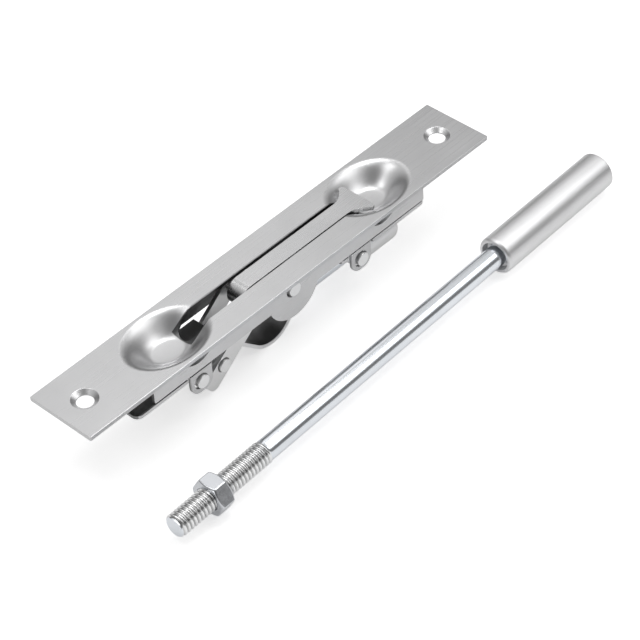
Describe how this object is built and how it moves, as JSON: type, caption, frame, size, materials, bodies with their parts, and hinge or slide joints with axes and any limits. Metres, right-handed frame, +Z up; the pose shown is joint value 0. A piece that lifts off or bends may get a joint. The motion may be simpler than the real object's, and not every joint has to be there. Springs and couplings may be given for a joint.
{
  "type": "lever extension flush bolt",
  "caption": "Manual lever extension flush bolt: slotted front plate with finger wells, flip lever, crank and slide works, and a loose threaded bolt rod with nut and tip.",
  "frame": {"origin": "centre of the whole object's bounding box in X and Y, at the height of its lowest point, the surface it lies on", "axes": "+X along the front plate towards the socket end, +Y across the plate away from the loose rod, +Z up out of the front plate's face"},
  "size_m": [0.1998, 0.059, 0.0266],
  "materials": {
    "satin_steel": "brushed satin stainless steel",
    "grey_steel": "plain stamped steel",
    "bright_pin": "bright turned steel",
    "zinc": "bright blue zinc plated steel"
  },
  "bodies": {
    "case": {"faceplate": "satin_steel", "side_plate_near": "satin_steel", "side_plate_far": "satin_steel", "lever_pivot_pin": "bright_pin"},
    "lever": {"lever": "satin_steel", "crank_pin": "bright_pin"},
    "link": {"link_bar_near": "satin_steel", "link_bar_far": "satin_steel", "link_pin_near": "bright_pin", "link_pin_far": "bright_pin"},
    "slide": {"slide_strap": "grey_steel", "ear_bracket_left": "grey_steel", "ear_bracket_right": "grey_steel", "ear_pin_left": "bright_pin", "ear_pin_right": "bright_pin", "slide_pin": "bright_pin", "spacer_bush": "grey_steel", "slide_rod": "zinc", "socket_tube": "satin_steel"},
    "bolt_rod": {"extension_rod": "zinc", "bolt_tip": "satin_steel"},
    "nut": {"hex_nut": "zinc"}
  },
  "joints": [
    {"name": "lever_flip", "type": "hinge", "parent": "case", "child": "lever", "pos_m": [-0.01418, 0.01676, 0.0206], "axis": [0, -1, 0], "range_deg": [0, 165]},
    {"name": "link_swing", "type": "hinge", "parent": "lever", "child": "link", "pos_m": [-0.02538, 0.01676, 0.0215], "axis": [0, -1, 0], "range_deg": [-182, 0]},
    {"name": "slide_travel", "type": "slide", "parent": "case", "child": "slide", "axis": [1, 0, 0], "range_m": [0, 0.0193]},
    {"name": "rod_lift", "type": "slide", "parent": "case", "child": "bolt_rod", "axis": [0, 0, 1], "range_m": [0, 0.06]},
    {"name": "nut_turn", "type": "hinge", "parent": "bolt_rod", "child": "nut", "pos_m": [-0.08048, -0.02299, 0.0063], "axis": [0.9996, 0.0279, 0], "continuous": true}
  ],
  "couplings": [
    {"joint": "link_swing", "follows": "lever_flip", "ratio": -1.0869},
    {"joint": "slide_travel", "follows": "lever_flip", "m_per_rad": 0.0066242}
  ]
}
